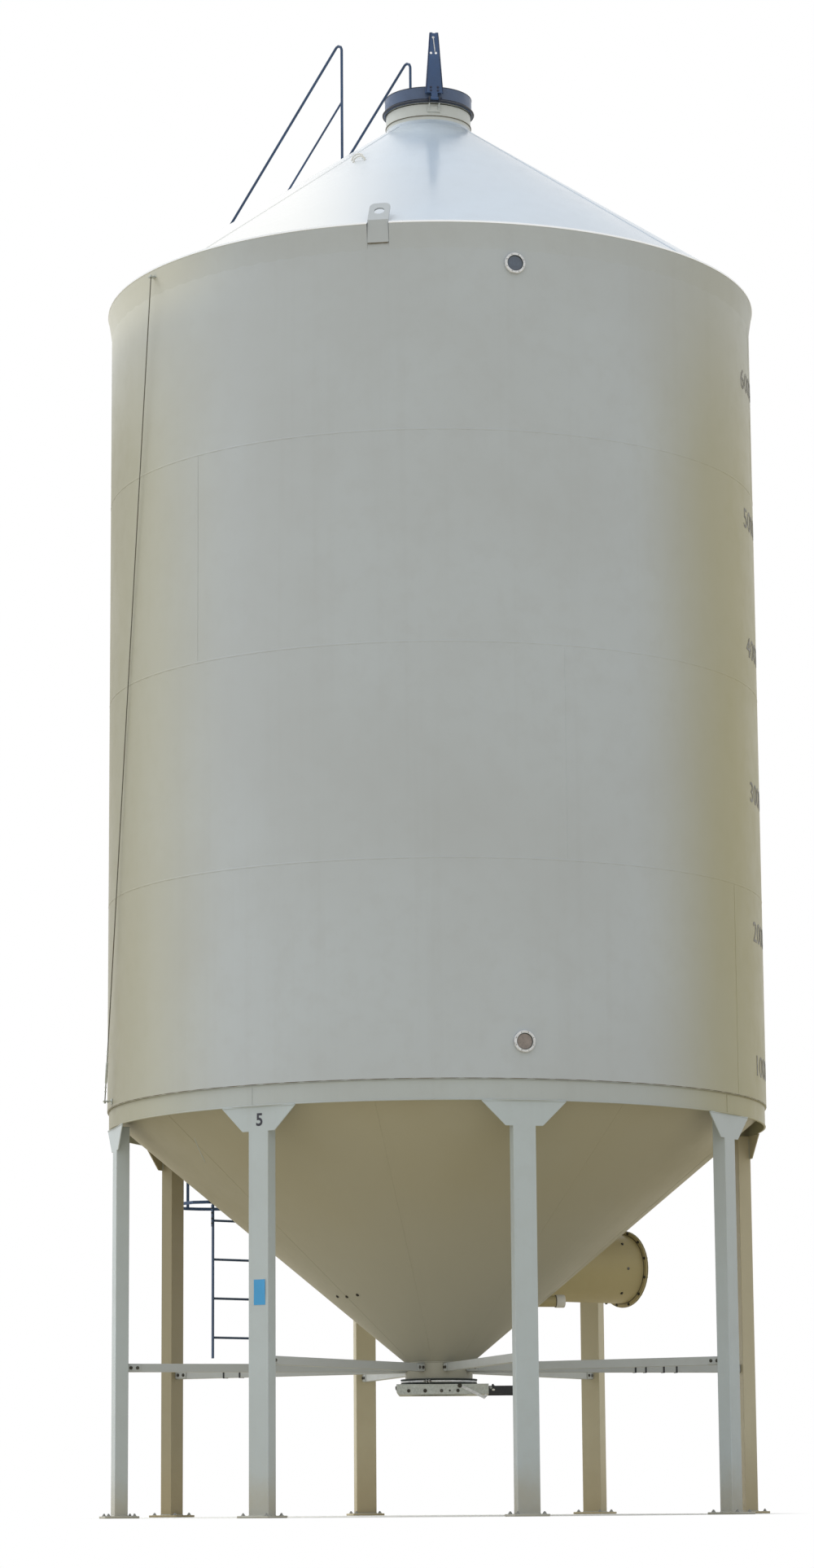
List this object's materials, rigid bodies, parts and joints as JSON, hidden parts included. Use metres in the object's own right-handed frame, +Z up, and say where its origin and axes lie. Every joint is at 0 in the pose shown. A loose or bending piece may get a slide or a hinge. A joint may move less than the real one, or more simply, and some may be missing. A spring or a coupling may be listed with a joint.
{
  "type": "hopper-bottom seed bin",
  "caption": "Tall smooth-wall round bin with a conical roof and a conical hopper, standing on braced legs, with a hinged fill lid, a slide gate at the outlet and a caged ladder",
  "frame": {"origin": "ground level, under the middle of the overall box, ladder cage included", "axes": "+X to the right seen from the front, +Y to the rear, +Z up; the bin's own axis stands 153 mm towards the front from the origin"},
  "size_m": [4.9248, 5.2303, 11.4216],
  "materials": {
    "wall": "satin cream enamel on sheet steel, weathered to a warmer tone on the underside",
    "roof": "satin off-white enamel",
    "dark_steel": "dark blue-grey paint",
    "lid": "dark grey enamel",
    "zinc": "dull galvanised steel",
    "gate_black": "black paint",
    "gasket": "dull black rubber",
    "glass": "tinted sight window over a dark interior",
    "cable": "dull wire rope"
  },
  "bodies": {
    "structure": {"aeration_duct": "wall", "base_ring": "wall", "cable_cleat": "zinc", "cable_guide": "zinc", "duct_cover": "wall", "gate_frame": "zinc", "gate_latch": "zinc", "gate_rails": "gate_black", "handrail_left": "dark_steel", "handrail_right": "dark_steel", "hopper_cone": "wall", "ladder_cage": "dark_steel", "ladder_lower": "dark_steel", "ladder_tie_1": "dark_steel", "ladder_tie_2": "dark_steel", "ladder_tie_3": "dark_steel", "ladder_tie_4": "dark_steel", "ladder_upper": "dark_steel", "leg_1": "wall", "leg_2": "wall", "leg_3": "wall", "leg_4": "wall", "leg_5": "wall", "leg_6": "wall", "leg_7": "wall", "leg_8": "wall", "lid_hinge_bracket": "wall", "lifting_lug_front": "wall", "lifting_lug_rear": "wall", "opener_cable": "cable", "outlet_boot": "wall", "outlet_gasket": "gasket", "roof_collar": "wall", "roof_cone": "roof", "roof_ladder": "dark_steel", "sample_port": "wall", "sight_glass_lower": "glass", "sight_glass_upper": "glass", "sight_port_lower": "zinc", "sight_port_upper": "zinc", "strut_1": "wall", "strut_2": "wall", "strut_3": "wall", "strut_4": "wall", "strut_5": "wall", "strut_6": "wall", "strut_7": "wall", "strut_8": "wall", "wall_course_1": "wall", "wall_course_2": "wall", "wall_course_3": "wall", "wall_course_4": "wall"},
    "lid": {"lid": "lid", "lid_lever": "dark_steel"},
    "gate": {"gate_slide": "gate_black", "gate_handle": "gate_black"}
  },
  "joints": [
    {"name": "lid_hinge", "type": "hinge", "parent": "structure", "child": "lid", "pos_m": [0.04738, -0.52782, 10.69997], "axis": [0.9921, 0.1253, 0], "range_deg": [0, 100]},
    {"name": "gate_slide", "type": "slide", "parent": "structure", "child": "gate", "axis": [1, 0, 0], "range_m": [0, 0.42]}
  ]
}
